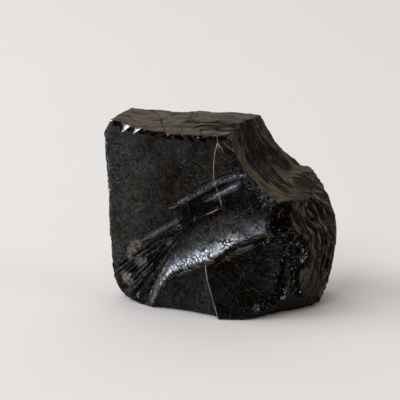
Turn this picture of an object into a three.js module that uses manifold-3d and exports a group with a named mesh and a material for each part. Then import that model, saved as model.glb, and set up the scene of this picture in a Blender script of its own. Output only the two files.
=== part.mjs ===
// A hand specimen of shungite: one broken lump of glassy black carbon rock, resting on a flat face.
//
// Millimetres, +Z up. X runs along the specimen's width, and the large glossy break looks along -Y.
// The origin is the centre of the footprint, on the surface that the specimen rests on.
//
// Like any broken rock, it is what is left where several fractures meet. Each fracture is a height
// field, closed into a block that holds all the rock behind it. The stone is the overlap of the blocks.

import * as THREE from "three";
import { mergeVertices } from "three/addons/utils/BufferGeometryUtils.js";
import Module from "manifold-3d";

const WIDTH = 78; // left edge to right bulge
const DEPTH = 46; // nearest point of the foot to the back
const TOP = 60.6; // height of the dull top face at the middle of the stone
const REACH = 120; // how far each block runs inward: past the whole stone
const MARGIN = 3; // how far each face's sheet runs past the stone's box

const LEFT = -WIDTH / 2;
const RIGHT = WIDTH / 2;
const FRONT = -DEPTH / 2;
const BACK = DEPTH / 2;

// ---- Curves and textures that the faces share

const clamp = THREE.MathUtils.clamp;
const smooth = THREE.MathUtils.smoothstep;

// A smooth height(x) through the points [x, height], level beyond both ends' slopes.
function through(points) {
  const slope = points.map((_, i) => {
    const [a, b] = [points[Math.max(i - 1, 0)], points[Math.min(i + 1, points.length - 1)]];
    return (b[1] - a[1]) / (b[0] - a[0]);
  });
  return (x) => {
    const last = points.length - 2;
    const found = points.findIndex((p, i) => i > 0 && x <= p[0]) - 1;
    const i = found < 0 ? last : found;
    const [[x0, y0], [x1, y1]] = [points[i], points[i + 1]];
    const w = x1 - x0;
    const t = clamp((x - x0) / w, 0, 1);
    return (
      y0 * (1 + 2 * t) * (1 - t) ** 2 +
      y1 * t * t * (3 - 2 * t) +
      w * t * (1 - t) * (slope[i] * (1 - t) - slope[i + 1] * t)
    );
  };
}

// The value at a share of the way along stops [share, value], so rows can crowd where they are needed.
function spaced(stops, share) {
  const i = Math.max(stops.findIndex(([at]) => share <= at + 1e-9), 1);
  const [[from, a], [to, b]] = [stops[i - 1], stops[i]];
  return a + ((b - a) * (share - from)) / (to - from);
}

// A hump: 0 at both ends of 0..1, and 1 in the middle.
function hump(t) {
  return Math.sin(Math.PI * clamp(t, 0, 1));
}

// Gentle unevenness, about -1 to 1, of the wavelength given in millimetres.
function swell(u, v, wavelength, seed) {
  const k = (2 * Math.PI) / wavelength;
  return (
    0.5 * Math.sin(k * u + 1.3 * Math.sin(0.6 * k * v + seed) + 2.1 * seed) +
    0.3 * Math.sin(0.7 * k * v - 0.9 * k * u + 3.7 * seed) +
    0.2 * Math.sin(1.9 * k * v + 1.1 * k * u + 5.3 * seed)
  );
}

// Hackle, the sharp-crested grooves that run the way a crack travelled: 0 in a groove, 1 on a crest.
function hackle(across, along, pitch, seed) {
  const slow = 0.35 * Math.sin(along / (4.1 * pitch) + seed);
  const quick = 0.2 * Math.sin(along / (1.7 * pitch) + 2 * seed);
  const bend = slow + quick;
  const turn = across / pitch + bend;
  return 1 - Math.abs(2 * (turn - Math.floor(turn)) - 1);
}

// ---- The glossy front: a flat upper face, a conchoidal shelf that sweeps out to a lip, and the lower body

const FRONT_TURN = 0.3; // how fast the upper face comes forward, to the right
const UPPER_START = -36; // x where the upper face crosses y = 0
const TOE = 15; // below this height the upper face curves out to its toe
const LOWER_FACE_Y = -19.2; // the lower body's right half, at the height of its lip
const LOWER_LEAN = 0.15; // how fast it leans out towards the foot
const LIP_GROOVE = 1.1; // depth of the crevice under the lip
const SCAR = 0.8; // depth of the scar along the shelf's rim

// The lip of the shelf, the rim where the shelf starts, how far the lip stands out, and the joint
// that parts the lower body: height or distance, by x. The joint is x by height.
const lipHeight = through([
  [-42, -46], [-30, -16], [-24, -3], [-22, 2], [-19.7, 7.3], [-16.2, 12.1], [-11, 15.3],
  [-5.4, 18.3], [-3.1, 19.3], [2.5, 23.2], [7, 25.6], [11.5, 27.2], [19.3, 28.8], [28, 30],
]);
const rimHeight = through([
  [-42, 6], [-36, 10], [-30.5, 16], [-26.7, 21], [-20.3, 25.5], [-15, 29.4], [-12, 33.5], [-8.8, 38.8],
  [-2, 43.2], [2.5, 45.4], [6, 46.6], [12, 46], [28, 41],
]);
const shelfReach = through([
  [-42, 3], [-30, 4], [-22, 5.8], [-16, 7], [-11, 8], [-5.4, 9], [-3, 8.6], [2.6, 8],
  [7, 6.9], [11.5, 6], [19, 4.3], [28, 3],
]);
const shelfCurve = through([
  [-42, 1.8], [-30, 2], [-22, 2.25], [-16, 2.6], [-9, 2.8], [-2, 2.8], [6, 2.7], [12, 2.4], [28, 2],
]);
const jointX = through([[-5, -0.5], [2.8, -1.7], [7.7, -3.1], [12.8, -4.5], [17.8, -5.3], [30, -5.3]]);

function upperFace(x, z) {
  const toe = 0.012 * Math.max(0, TOE - z) ** 2;
  return -FRONT_TURN * (x - UPPER_START) - toe + 0.12 * swell(x, z, 24, 1);
}

function lowerBody(x, z) {
  const left = -19.5 - 0.5 * (x + 3);
  const right = LOWER_FACE_Y - LOWER_LEAN * (25 - z) - 0.04 * x;
  const side = smooth(x, jointX(z) - 0.4, jointX(z) + 0.4);
  const below = (lipHeight(x) - z) / 2.8;
  const groove = LIP_GROOVE * hump(below) * smooth(x, -5, 1) * (1 - smooth(x, 13, 18));
  return left + (right - left) * side + groove + 0.15 * swell(x, z, 13, 4);
}

function shelf(x, z, t) {
  const sweep = shelfReach(x) * (1 - t) ** shelfCurve(x);
  return upperFace(x, z) - sweep + hackleFan(x, z);
}

// Scars run along both straight stretches of the rim, and fade where it climbs from one to the other.
// Each is deepest half a millimetre above the rim, and a second, shallower one follows it.
function scar(x, aboveRim) {
  const climb = Math.exp(-(((x + 12.2) / 2) ** 2));
  const along = smooth(x, -30, -24) * (1 - smooth(x, 6, 9)) * (1 - 0.8 * climb);
  const first = Math.max(0, 1 - Math.abs(aboveRim - 0.5) / 0.8);
  const second = Math.max(0, 1 - Math.abs(aboveRim - 2.3) / 0.8);
  return SCAR * along * (first + 0.5 * second);
}

// A fan of hackle across the shelf's left, from the point where it starts, down to the left.
const FAN_X = -9.4;
const FAN_Z = 30.3;
const FAN_FROM = THREE.MathUtils.degToRad(37);
const FAN_TO = THREE.MathUtils.degToRad(62);
const FAN_GROOVES = 4;

function hackleFan(x, z) {
  const [dx, dz] = [FAN_X - x, FAN_Z - z];
  const radius = Math.hypot(dx, dz);
  const turn = (Math.atan2(dz, dx) - FAN_FROM) / (FAN_TO - FAN_FROM);
  const depth = 0.9 * smooth(radius, 3, 14) * (1 - smooth(radius, 28, 36)) * Math.sqrt(hump(turn));
  return depth * (1 - hackle(turn * FAN_GROOVES, 0, 1, 0));
}

function frontY(x, z) {
  const t = (z - lipHeight(x)) / (rimHeight(x) - lipHeight(x));
  if (t < 0) return lowerBody(x, z);
  return t < 1 ? shelf(x, z, t) : upperFace(x, z) + scar(x, z - rimHeight(x));
}

// Rows of the front's sheet keep to its lip and its rim, and columns to its joint, so all are clean edges.
const FRONT_COLUMNS = 50;
const FRONT_ROWS = 40;

function frontRow(x, share) {
  const [low, high] = [-MARGIN, TOP + MARGIN];
  const lip = clamp(lipHeight(x), low + 0.5, high);
  const rim = clamp(rimHeight(x), lip + 1, high);
  const edges = [[0, low], [0.3, lip - 0.4], [0.325, lip + 0.02]];
  const scars = [0.7, 0.725, 0.75, 0.775, 0.8].map((at, i) => [at, rim + [-0.3, 0.5, 1.4, 2.3, 3.2][i]]);
  return spaced([...edges, ...scars, [1, Math.max(high, rim + 4)]], share);
}

function frontPlace(s, t) {
  const columns = [[0, LEFT - MARGIN], [0.46, -3.7], [0.5, -2.5], [0.92, 26], [1, RIGHT + MARGIN]];
  const straight = spaced(columns, s);
  const z = frontRow(straight, t);
  const nearJoint = Math.max(0, 1 - Math.abs(straight + 3.1) / 7) * (1 - smooth(z, 17, 22));
  const x = straight + (jointX(z) + 3.1) * nearJoint;
  const height = frontRow(x, t);
  return [x, frontY(x, height), height];
}

// ---- The scoop: a dull, hollow break that slides from the top face down to the right

const SCOOP_SKEW = 0.46; // its head runs back to the right at this slope

// Its height by how far along the slide, from the corner of the top face.
const slideHeight = through([
  [-8, 78], [-3, 66], [-1, 61.7], [0.5, 58], [2.3, 54], [4.3, 50.4], [6, 48.1], [8.9, 45.4],
  [10.7, 43.9], [12.6, 42.2], [16.5, 39.6], [20, 38.2], [24, 37.6], [40, 36.5],
]);

function scoopZ(x, y) {
  const slide = x - SCOOP_SKEW * (y + 15) - 1;
  const sides = (y - 1) / 15;
  const hollow = 1.6 * hump(slide / 22) * Math.max(0, 1 - sides * sides);
  const backLip = 4.6 * smooth(y, -1, 10) * smooth(slide, 11, 17.5);
  const ribs = 0.8 * (hackle(y + 0.35 * slide, slide, 4.6, 2) - 0.5) * smooth(slide, -2, 3);
  return slideHeight(slide) - hollow + backLip + ribs;
}

// ---- The dull top face, nearly level, sagging along its front edge, with a low wavy step across it

const frontSag = through([
  [-40, -0.4], [-34.4, 0.2], [-25.8, 1.45], [-14.4, 2.05], [-3.1, 1.06], [1.4, 0.3], [5.3, -0.8], [12, -1],
]);

function topZ(x, y) {
  const behindEdge = y + FRONT_TURN * (x - UPPER_START);
  const sag = frontSag(x) * Math.exp(-((behindEdge / 9) ** 2));
  const stepLine = -3 + 0.1 * x + 1.4 * Math.sin(x / 5);
  const step = 0.7 * smooth(y, stepLine - 0.8, stepLine + 0.8) * smooth(x, -16, -4) * (1 - smooth(x, 8, 14));
  return TOP - 0.04 * x + 0.04 * y - sag + 0.25 * swell(x, y, 15, 7) + step - 0.35;
}

// ---- The right: a front facet with a recess under the scoop's foot, and a bulging, ribbed side with
// a bevelled shoulder at its top

const FACET = { x: 20, y: -20.8, outward: [0.648, -0.762] };
const RECESS = { depth: 4.4, low: 28.5, high: 40 };

// How far the front facet stands off its plane, by the distance along it and the height.
function rightFacet(along, z) {
  const low = RECESS.low + 1.8 * Math.sin(along / 3.1);
  const deep = 1 + 0.2 * Math.sin(along / 2.3 + 1) - 0.35 * smooth(along, 4, 14);
  const recess = RECESS.depth * deep * hump((z - low) / (RECESS.high - low)) ** 0.8;
  return -recess + 0.5 * swell(along, z, 11, 3);
}

function rightX(y, z) {
  const over = Math.max(0, z - 34);
  const bulge = z > 23 ? 0.02 * (z - over - 23) ** 2 + 0.35 * over : 0.0085 * (z - 23) ** 2;
  const side = RIGHT - 0.3 - 0.02 * (y - 2) ** 2 - bulge;
  const shoulder = 28.7 + 0.29 * (y + 10.4) - 1.08 * (Math.min(z, 43) - 37.5);
  const depth = 1.1 + 0.4 * swell(y, z, 23, 3);
  const ribs = depth * (hackle(y + 0.015 * (z - 25) ** 2, z, 5.2, 5) - 0.5);
  return Math.min(side, shoulder) + ribs;
}

// ---- The left side, and the flat foot with its rounded lower left corner

function leftX(y, z) {
  const bevel = 0.5 * Math.max(0, z - 57);
  const stepLine = leftStep(z);
  const step = 1.3 * smooth(y, stepLine - 0.5, stepLine + 0.5) * hump((z - 8) / 62);
  return LEFT - 0.3 + 0.36 * y + 0.05 * (TOP - z) + bevel + step + 0.35 * swell(y, z, 17, 6);
}

function leftStep(z) {
  return 5 + 0.08 * (z - 30) + 1.2 * Math.sin(z / 7);
}

const cornerHeight = through([
  [-42, 30], [-38.2, 19], [-36.9, 12], [-36, 8], [-34.2, 4], [-31.5, 1.6], [-28.5, 0.4], [-25, 0], [-20, 0],
]);

function footZ(x, y) {
  const underLeft = 0.9 * (1 - smooth(x, -4.5, -2)) * (1 - smooth(y, -14, -6));
  return Math.max(x < -20 ? cornerHeight(x) : 0, underLeft);
}

// ---- The back: two conchoidal breaks, each ringed by ribs round the point where it was struck.
// The lower one stands proud of the upper one along a ledge.

const UPPER_STRIKE = { x: 16, z: 58 };
const LOWER_STRIKE = { x: -30, z: 4 };
const BACK_LEDGE = 2.2;

function ledgeHeight(x) {
  return 27 - 0.35 * x + 2.5 * Math.sin(x / 8 + 0.6);
}

function backY(x, z) {
  const upper = z > ledgeHeight(x);
  const strike = upper ? UPPER_STRIKE : LOWER_STRIKE;
  const distance = Math.hypot(x - strike.x, z - strike.z);
  const rings = 0.6 * Math.sin(distance / 1.7 + 1.2 * Math.sin(distance / 9)) * smooth(distance, 4, 16);
  const hollow = 0.9 * Math.cos(distance / 14 - 1.2);
  const lean = upper ? 0.17 * (z - 24) : 0.02 * (24 - z);
  return BACK - 0.5 - lean - hollow + rings - (upper ? BACK_LEDGE * hump((x + 30) / 70) : 0);
}

// ---- Each fracture as a closed block of all the rock behind it

// place(s, t) is a point of the face, for s and t from 0 to 1, and inward points into the rock.
// leftHanded says that inward isn't on the side that s cross t would give.
function blockBehind({ columns, rows, place, inward }) {
  const push = new THREE.Vector3(...inward).setLength(REACH);
  const face = [];
  for (let j = 0; j <= rows; j++)
    for (let i = 0; i <= columns; i++) face.push(new THREE.Vector3(...place(i / columns, j / rows)));
  const behind = face.map((p) => p.clone().add(push));
  const count = face.length;
  const width = columns + 1;

  const triangles = [];
  const quad = (a, b, c, d) => triangles.push([a, b, c], [a, c, d]);
  for (let j = 0; j < rows; j++)
    for (let i = 0; i < columns; i++) {
      const a = j * width + i;
      quad(a, a + 1, a + width + 1, a + width);
      quad(count + a, count + a + width, count + a + width + 1, count + a + 1);
    }
  const rim = [];
  for (let i = 0; i < columns; i++) rim.push(i);
  for (let j = 0; j < rows; j++) rim.push(j * width + columns);
  for (let i = columns; i > 0; i--) rim.push(rows * width + i);
  for (let j = rows; j > 0; j--) rim.push(j * width);
  rim.forEach((a, i) => {
    const b = rim[(i + 1) % rim.length];
    quad(b, a, count + a, count + b);
  });

  const across = face[1].clone().sub(face[0]);
  const up = face[width].clone().sub(face[0]);
  const facesIn = across.cross(up).dot(push) > 0;
  const positions = [...face, ...behind].flatMap((p) => p.toArray());
  return {
    positions: new Float32Array(positions),
    triangles: new Uint32Array((facesIn ? triangles.map(([a, b, c]) => [a, c, b]) : triangles).flat()),
  };
}

// A facet that is a tilted plane: through a point, facing outward, a little uneven.
// Its cells are small near the point, and widen outward.
const FACET_REACH = 130;

function facet({ point, outward, cells, unevenness, seed }) {
  const normal = new THREE.Vector3(...outward).normalize();
  const along = new THREE.Vector3(-normal.y, normal.x, 0).normalize();
  const up = normal.clone().cross(along);
  return {
    columns: cells,
    rows: cells,
    inward: normal.clone().negate().toArray(),
    place: (s, t) => {
      const [u, v] = [2 * s - 1, 2 * t - 1].map((q) => FACET_REACH * (0.35 * q + 0.65 * q ** 3));
      return new THREE.Vector3(...point)
        .addScaledVector(along, u)
        .addScaledVector(up, v)
        .addScaledVector(normal, unevenness * swell(u, v, 14, seed))
        .toArray();
    },
  };
}

const mix = THREE.MathUtils.lerp;
const [LOW, HIGH] = [-MARGIN, TOP + MARGIN];
const [NEAR, FAR] = [FRONT - MARGIN, BACK + MARGIN];

const fractures = [
  {
    // glossy front
    columns: FRONT_COLUMNS,
    rows: FRONT_ROWS,
    inward: [0, 1, 0],
    place: frontPlace,
  },
  {
    // right-hand front facet, with the recess
    columns: 18,
    rows: 22,
    inward: [-FACET.outward[0], -FACET.outward[1], 0],
    place: (s, t) => {
      const along = spaced([[0, -70], [0.12, -14], [0.9, 22], [1, 50]], s);
      const z = spaced([[0, LOW], [0.85, 42], [1, HIGH]], t);
      const [nx, ny] = FACET.outward;
      const off = rightFacet(along, z);
      return [FACET.x - ny * along + nx * off, FACET.y + nx * along + ny * off, z];
    },
  },
  {
    // ribbed right side
    columns: 24,
    rows: 26,
    inward: [-1, 0, 0],
    place: (s, t) => {
      const y = spaced([[0, NEAR], [0.08, -15], [0.92, 17], [1, FAR]], s);
      const z = spaced([[0, LOW], [0.5, 29], [0.9, 44], [1, HIGH]], t);
      return [rightX(y, z), y, z];
    },
  },
  {
    // scoop
    columns: 26,
    rows: 22,
    inward: [0, 0, -1],
    place: (s, t) => {
      const y = spaced([[0, NEAR], [0.05, -17], [0.95, 15], [1, FAR]], t);
      const slide = spaced([[0, -60], [0.08, -3], [0.9, 26], [1, 62]], s);
      const x = slide + 1 + SCOOP_SKEW * (y + 15);
      return [x, y, scoopZ(x, y)];
    },
  },
  {
    // dull top
    columns: 28,
    rows: 18,
    inward: [0, 0, -1],
    place: (s, t) => {
      const x = spaced([[0, LEFT - MARGIN], [0.93, 15], [1, RIGHT + MARGIN]], s);
      const y = spaced([[0, NEAR], [0.06, -14], [0.94, 17], [1, FAR]], t);
      return [x, y, topZ(x, y)];
    },
  },
  {
    // left side
    columns: 16,
    rows: 20,
    inward: [1, 0, 0],
    place: (s, t) => {
      const z = mix(LOW, HIGH, t);
      const step = leftStep(z);
      const ends = [[0.9, 18], [1, FAR]];
      const y = spaced([[0, NEAR], [0.125, -6], [0.5, step - 0.5], [0.5625, step + 0.5], ...ends], s);
      return [leftX(y, z), y, z];
    },
  },
  {
    // foot
    columns: 26,
    rows: 10,
    inward: [0, 0, 1],
    place: (s, t) => {
      const [x, y] = [mix(LEFT - MARGIN, RIGHT + MARGIN, s), mix(NEAR, FAR, t)];
      return [x, y, footZ(x, y)];
    },
  },
  {
    // back
    columns: 32,
    rows: 30,
    inward: [0, -1, 0],
    place: (s, t) => {
      const x = mix(LEFT - MARGIN, RIGHT + MARGIN, s);
      const ledge = ledgeHeight(x);
      const z = spaced([[0, LOW], [0.5, ledge - 0.2], [0.5333, ledge + 0.6], [1, HIGH]], t);
      return [x, backY(x, z), z];
    },
  },
  // undercut at the lower right, then the back's right, lower and left facets
  facet({ point: [22, -16.4, 2.5], outward: [0.45, -0.7, -0.55], cells: 22, unevenness: 0.4, seed: 8 }),
  facet({ point: [30, 15.5, 24], outward: [0.66, 0.74, 0], cells: 26, unevenness: 1.1, seed: 9 }),
  facet({ point: [0, 19, 4], outward: [0.08, 0.62, -0.78], cells: 26, unevenness: 0.5, seed: 10 }),
  facet({ point: [-28, 15, 22], outward: [-0.6, 0.78, -0.1], cells: 26, unevenness: 1.2, seed: 11 }),
];

// ---- Flakes struck off the edges, each leaving a shallow round bowl

// at is the bowl's deepest point's place on the surface before the flake came off.
const flakes = [
  { at: [17.6, -22.8, 6.2], outward: [0.3, -0.92, -0.24], width: 15, depth: 2.5 }, // toe, lower right
  { at: [33.8, -9, 14], outward: [0.85, -0.5, 0.15], width: 10, depth: 1.2 }, // right-hand front edge
  { at: [-36.5, 14, 52], outward: [-0.8, 0.55, 0.2], width: 15, depth: 1.8 }, // upper left, at the back
  { at: [24, 20, 34], outward: [0.5, 0.8, 0.3], width: 16, depth: 1.8 }, // back, under the shoulder
  { at: [-8, 22, 3], outward: [0, 0.75, -0.6], width: 17, depth: 1.8 }, // foot, at the back
];

function bowl({ at, outward, width, depth }) {
  const radius = (width * width) / (8 * depth) + depth / 2;
  const ball = new THREE.IcosahedronGeometry(radius, Math.round(radius / 1.6));
  ["normal", "uv"].forEach((name) => ball.deleteAttribute(name));
  const centre = new THREE.Vector3(...outward).setLength(radius - depth).add(new THREE.Vector3(...at));
  const welded = mergeVertices(ball.translate(...centre.toArray()), 1e-3);
  return {
    positions: new Float32Array(welded.attributes.position.array),
    triangles: new Uint32Array(welded.index.array),
  };
}

const wasm = await Module();
wasm.setup();

const solid = ({ positions, triangles }) =>
  new wasm.Manifold(new wasm.Mesh({ numProp: 3, vertProperties: positions, triVerts: triangles }));

const broken = fractures.map(blockBehind).map(solid).reduce((kept, block) => kept.intersect(block));
const rock = flakes.map(bowl).map(solid).reduce((kept, flake) => kept.subtract(flake), broken);

// ---- The one node

const { vertProperties, triVerts } = rock.getMesh();
const geometry = new THREE.BufferGeometry();
geometry.setAttribute("position", new THREE.BufferAttribute(new Float32Array(vertProperties), 3));
geometry.setIndex(new THREE.BufferAttribute(new Uint32Array(triVerts), 1));

const shungite = new THREE.MeshStandardMaterial({ color: 0x1c1b1a, roughness: 0.35, flatShading: true });
const stone = new THREE.Mesh(geometry, shungite);
stone.name = "shungite_stone";

const specimen = new THREE.Group();
specimen.add(stone);

export default specimen;
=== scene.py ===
import math

import bmesh
import bpy
import numpy as np
from mathutils import Matrix


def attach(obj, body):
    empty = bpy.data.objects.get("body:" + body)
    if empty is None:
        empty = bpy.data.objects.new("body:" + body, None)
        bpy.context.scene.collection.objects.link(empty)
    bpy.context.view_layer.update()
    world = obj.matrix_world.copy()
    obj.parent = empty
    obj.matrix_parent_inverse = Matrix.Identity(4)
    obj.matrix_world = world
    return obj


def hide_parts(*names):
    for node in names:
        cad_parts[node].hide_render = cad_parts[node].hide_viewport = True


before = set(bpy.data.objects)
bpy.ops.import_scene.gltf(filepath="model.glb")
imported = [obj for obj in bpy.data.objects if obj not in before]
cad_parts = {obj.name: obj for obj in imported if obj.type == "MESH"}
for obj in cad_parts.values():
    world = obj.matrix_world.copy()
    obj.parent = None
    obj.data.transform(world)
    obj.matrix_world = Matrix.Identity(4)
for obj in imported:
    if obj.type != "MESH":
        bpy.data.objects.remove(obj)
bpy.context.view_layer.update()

# ---- The stone
# One lump of shungite, a natural glassy carbon rock, broken out of its vein by hammer blows. Its shape
# is what is left where the breaks meet: each break below is a surface, and the rock is behind them all.

LEFT, RIGHT = -39.0, 39.0
BACK = 23.0
TOP = 60.6


def smooth(value, low, high):
    share = np.clip((value - low) / (high - low), 0, 1)
    return share * share * (3 - 2 * share)


def hump(share):
    return np.sin(np.pi * np.clip(share, 0, 1))


def through(points):
    """A smooth curve through the points [x, value], level past its two ends."""
    xs, values = np.array(points, float).T
    before = np.maximum(np.arange(len(xs)) - 1, 0)
    after = np.minimum(np.arange(len(xs)) + 1, len(xs) - 1)
    slopes = (values[after] - values[before]) / (xs[after] - xs[before])

    def value_at(x):
        i = np.clip(np.searchsorted(xs, x) - 1, 0, len(xs) - 2)
        width = xs[i + 1] - xs[i]
        t = np.clip((x - xs[i]) / width, 0, 1)
        ends = values[i] * (1 + 2 * t) * (1 - t) ** 2 + values[i + 1] * t * t * (3 - 2 * t)
        return ends + width * t * (1 - t) * (slopes[i] * (1 - t) - slopes[i + 1] * t)

    return value_at


def swell(u, v, wavelength, seed):
    """Gentle unevenness, about -1 to 1."""
    k = 2 * np.pi / wavelength
    return (
        0.5 * np.sin(k * u + 1.3 * np.sin(0.6 * k * v + seed) + 2.1 * seed)
        + 0.3 * np.sin(0.7 * k * v - 0.9 * k * u + 3.7 * seed)
        + 0.2 * np.sin(1.9 * k * v + 1.1 * k * u + 5.3 * seed)
    )


def hackle(across, along, pitch, seed):
    """Sharp-crested grooves that run the way the crack travelled: 0 in a groove, 1 on a crest."""
    bend = 0.35 * np.sin(along / (4.1 * pitch) + seed) + 0.2 * np.sin(along / (1.7 * pitch) + 2 * seed)
    turn = across / pitch + bend
    return 1 - np.abs(2 * (turn - np.floor(turn)) - 1)


def groove(gap, width):
    return np.maximum(0, 1 - np.abs(gap) / width)


# The glossy front: a flat upper face, a conchoidal shelf that sweeps out to a lip, and the lower body.
lip_height = through([
    [-42, -46], [-30, -16], [-24, -3], [-22, 2], [-19.7, 7.3], [-16.2, 12.1], [-11, 15.3],
    [-5.4, 18.3], [-3.1, 19.3], [2.5, 23.2], [7, 25.6], [11.5, 27.2], [19.3, 28.8], [28, 30],
])
rim_height = through([
    [-42, 6], [-36, 10], [-30.5, 16], [-26.7, 21], [-20.3, 25.5], [-15, 29.4], [-12, 33.5], [-8.8, 38.8],
    [-2, 43.2], [2.5, 45.4], [6, 46.6], [12, 46], [28, 41],
])
shelf_reach = through([
    [-42, 3], [-30, 4], [-22, 5.8], [-16, 7], [-11, 8], [-5.4, 9], [-3, 8.6], [2.6, 8],
    [7, 6.9], [11.5, 6], [19, 4.3], [28, 3],
])
shelf_curve = through([
    [-42, 1.8], [-30, 2], [-22, 2.25], [-16, 2.6], [-9, 2.8], [-2, 2.8], [6, 2.7], [12, 2.4], [28, 2],
])
joint_x = through([[-5, -0.5], [2.8, -1.7], [7.7, -3.1], [12.8, -4.5], [17.8, -5.3], [30, -5.3]])
FAN_X, FAN_Z = -9.4, 30.3  # where the fan of hackle starts, from which it runs down to the left
FAN_SLOPE, FAN_SPREAD = math.radians(37), math.radians(25)


def fan_turn(x, z):
    """How far round the hackle fan a point lies, 0 to 1, and how far out."""
    turn = (np.arctan2(FAN_Z - z, FAN_X - x) - FAN_SLOPE) / FAN_SPREAD
    return turn, np.hypot(FAN_X - x, FAN_Z - z)


def scars(x, above):
    """How deep the two sharp notches run that follow the shelf's rim, at this height above it."""
    climb = np.exp(-(((x + 12.2) / 2) ** 2))
    along = smooth(x, -30, -24) * (1 - smooth(x, 6, 9)) * (1 - 0.8 * climb)
    return 0.8 * along * (groove(above - 0.5, 0.8) + 0.5 * groove(above - 2.3, 0.8))


def front_y(x, z):
    toe = 0.012 * np.maximum(0, 15 - z) ** 2
    upper = -0.3 * (x + 36) - toe + 0.12 * swell(x, z, 24, 1)

    lip, rim = lip_height(x), rim_height(x)
    t = np.clip((z - lip) / (rim - lip), 0, 1)
    turn, out = fan_turn(x, z)
    fan = 0.9 * smooth(out, 3, 14) * (1 - smooth(out, 28, 36)) * np.sqrt(hump(turn))
    shelf = upper - shelf_reach(x) * (1 - t) ** shelf_curve(x) + fan * (1 - hackle(turn * 4, 0, 1, 0))

    joint = joint_x(z)
    left_half = -19.5 - 0.5 * (x + 3)
    right_half = -19.2 - 0.15 * (25 - z) - 0.04 * x
    crevice = 1.1 * hump((lip - z) / 2.8) * smooth(x, -5, 1) * (1 - smooth(x, 13, 18))
    side = smooth(x, joint - 0.4, joint + 0.4)
    body = left_half + (right_half - left_half) * side + crevice + 0.15 * swell(x, z, 13, 4)

    return np.where(z < lip, body, np.where(z < rim, shelf, upper + scars(x, z - rim)))


# The dull shoulder slides from the top down to the right, and the dull top sags along its front edge.
slide_height = through([
    [-8, 78], [-3, 66], [-1, 61.7], [0.5, 58], [2.3, 54], [4.3, 50.4], [6, 48.1], [8.9, 45.4],
    [10.7, 43.9], [12.6, 42.2], [16.5, 39.6], [20, 38.2], [24, 37.6], [40, 36.5],
])
front_sag = through([
    [-40, -0.4], [-34.4, 0.2], [-25.8, 1.45], [-14.4, 2.05], [-3.1, 1.06], [1.4, 0.3], [5.3, -0.8], [12, -1],
])
SLIDE_SKEW = 0.46  # the shoulder's head runs back and to the right at this slope


def slide_of(x, y):
    return x - SLIDE_SKEW * (y + 15) - 1


def shoulder_z(x, y):
    slide = slide_of(x, y)
    sides = (y - 1) / 15
    hollow = 1.6 * hump(slide / 22) * np.maximum(0, 1 - sides * sides)
    back_lip = 4.6 * smooth(y, -1, 10) * smooth(slide, 11, 17.5)
    ribs = 0.8 * (hackle(y + 0.35 * slide, slide, 4.6, 2) - 0.5) * smooth(slide, -2, 3)
    return slide_height(slide) - hollow + back_lip + ribs


def top_step(x):
    return -3 + 0.1 * x + 1.4 * np.sin(x / 5)


def top_z(x, y):
    sag = front_sag(x) * np.exp(-(((y + 0.3 * (x + 36)) / 9) ** 2))
    line = top_step(x)
    step = 0.7 * smooth(y, line - 0.8, line + 0.8) * smooth(x, -16, -4) * (1 - smooth(x, 8, 14))
    return TOP - 0.04 * x + 0.04 * y - sag + 0.25 * swell(x, y, 15, 7) + step - 0.35


# The right: a front facet with a recess under the shoulder, and a bulging, ribbed side, bevelled on top.
FACET_X, FACET_Y = 20, -20.8  # the facet's near edge
FACET_RIGHT, FACET_BACK = 0.762, 0.648  # the way it runs from there


def facet_place(x, y):
    """Along the right-hand front facet, and out of its plane."""
    dx, dy = x - FACET_X, y - FACET_Y
    return FACET_RIGHT * dx + FACET_BACK * dy, FACET_BACK * dx - FACET_RIGHT * dy


def right_facet_off(along, z):
    low = 28.5 + 1.8 * np.sin(along / 3.1)
    deep = 1 + 0.2 * np.sin(along / 2.3 + 1) - 0.35 * smooth(along, 4, 14)
    return -4.4 * deep * hump((z - low) / (40 - low)) ** 0.8 + 0.5 * swell(along, z, 11, 3)


def right_facet_distance(x, y, z):
    along, out = facet_place(x, y)
    return out - right_facet_off(along, z)


def right_ribs(y, z):
    return (1.1 + 0.4 * swell(y, z, 23, 3)) * (hackle(y + 0.015 * (z - 25) ** 2, z, 5.2, 5) - 0.5)


def right_x(y, z):
    over = np.maximum(0, z - 34)
    bulge = np.where(z > 23, 0.02 * (z - over - 23) ** 2 + 0.35 * over, 0.0085 * (z - 23) ** 2)
    side = RIGHT - 0.3 - 0.02 * (y - 2) ** 2 - bulge
    shoulder = 28.7 + 0.29 * (y + 10.4) - 1.08 * (np.minimum(z, 43) - 37.5)
    return np.minimum(side, shoulder) + right_ribs(y, z)


# The left side, the foot with its rounded corner, and the back with two ringed breaks and a ledge.
corner_height = through([
    [-42, 30], [-38.2, 19], [-36.9, 12], [-36, 8], [-34.2, 4], [-31.5, 1.6], [-28.5, 0.4], [-25, 0], [-20, 0],
])


def left_x(y, z):
    line = 5 + 0.08 * (z - 30) + 1.2 * np.sin(z / 7)
    step = 1.3 * smooth(y, line - 0.5, line + 0.5) * hump((z - 8) / 62)
    bevel = 0.5 * np.maximum(0, z - 57)
    return LEFT - 0.3 + 0.36 * y + 0.05 * (TOP - z) + bevel + step + 0.35 * swell(y, z, 17, 6)


def foot_z(x, y):
    under_left = 0.9 * (1 - smooth(x, -4.5, -2)) * (1 - smooth(y, -14, -6))
    return np.maximum(np.where(x < -20, corner_height(x), 0), under_left)


def back_rings(x, z):
    """Which of the back's two breaks a point is on, and how far it lies from where that was struck."""
    upper = z > 27 - 0.35 * x + 2.5 * np.sin(x / 8 + 0.6)
    return upper, np.where(upper, np.hypot(x - 16, z - 58), np.hypot(x + 30, z - 4))


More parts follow.
